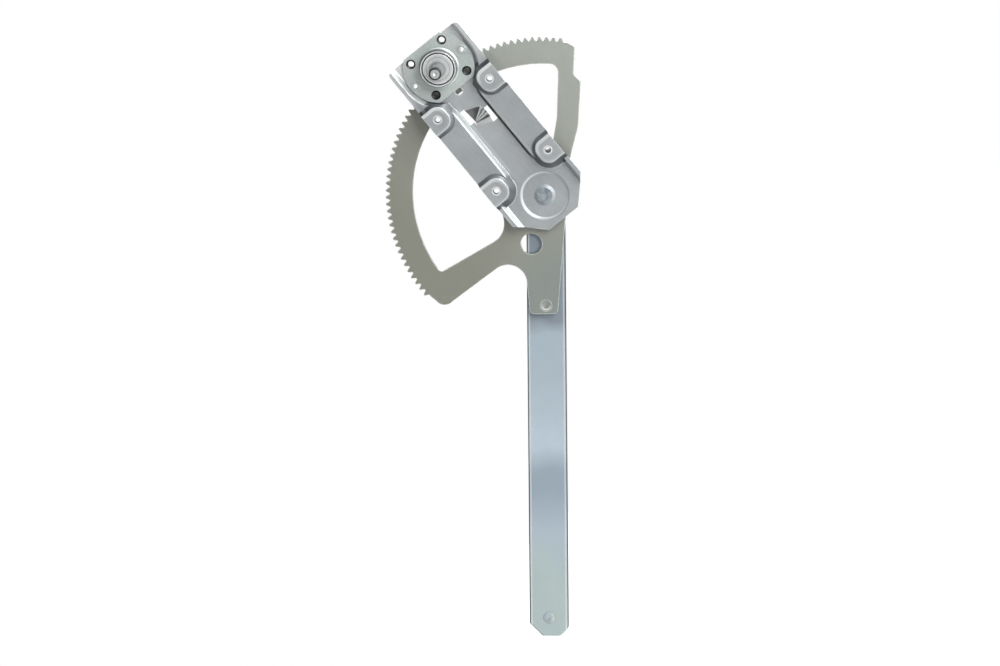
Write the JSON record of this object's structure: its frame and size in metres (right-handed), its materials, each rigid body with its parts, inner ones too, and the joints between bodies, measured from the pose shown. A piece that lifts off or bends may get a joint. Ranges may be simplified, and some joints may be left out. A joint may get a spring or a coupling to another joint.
{
  "type": "window regulator",
  "caption": "Crank-driven single-arm regulator that raises a door glass, with a pressed base plate, toothed sector, lift arm and roller.",
  "frame": {"origin": "centre of the four door bolts, on the front faces of the base plate's raised pads", "axes": "+Z along the base plate from the arm pivot towards the crank, +X across the plate, -Y towards the door's inner panel and the crank handle"},
  "size_m": [0.3271, 0.0554, 0.4404],
  "materials": {
    "zinc_plate": "galvanised pressed sheet",
    "zinc_fastener": "zinc plated",
    "drum_zinc": "galvanised pressed sheet",
    "bronze": "sintered, oiled",
    "spindle_steel": "machined",
    "driver_steel": "blanked, zinc plated",
    "spring_steel": "oiled spring steel",
    "sector_steel": "blanked sheet, olive grey",
    "arm_zinc": "blanked bar, bluish zinc",
    "nylon": "moulded"
  },
  "bodies": {
    "base": {"base_plate": "zinc_plate", "clinch_nuts": "zinc_fastener", "brake_drum": "drum_zinc", "drum_eyelets": "drum_zinc", "bearing_bush": "bronze", "pivot_pin": "zinc_fastener", "thrust_washer": "zinc_fastener", "spring_washer": "spring_steel"},
    "sector_arm": {"sector_gear": "sector_steel", "lift_arm": "arm_zinc", "hub_bush": "bronze", "tail_rivet": "zinc_fastener", "roller_stud": "zinc_fastener", "roller_spacer": "zinc_fastener"},
    "roller": {"glide_roller": "nylon"},
    "crank": {"crank_spindle": "spindle_steel", "input_driver": "driver_steel", "brake_spring": "spring_steel", "output_driver": "driver_steel", "pinion": "spindle_steel", "spindle_clip": "spring_steel"}
  },
  "joints": [
    {"name": "sector_swing", "type": "hinge", "parent": "base", "child": "sector_arm", "pos_m": [0, 0.0125, -0.06435], "axis": [0, -1, 0], "range_deg": [-85, 42]},
    {"name": "crank_spin", "type": "hinge", "parent": "base", "child": "crank", "pos_m": [0, 0.0055, 0.069], "axis": [0, -1, 0], "range_deg": [-860, 1720]},
    {"name": "roller_spin", "type": "hinge", "parent": "sector_arm", "child": "roller", "pos_m": [-0.21739, 0.0242, -0.33185], "axis": [0, 1, 0], "continuous": true}
  ],
  "couplings": [
    {"joint": "crank_spin", "follows": "sector_swing", "ratio": -20}
  ]
}
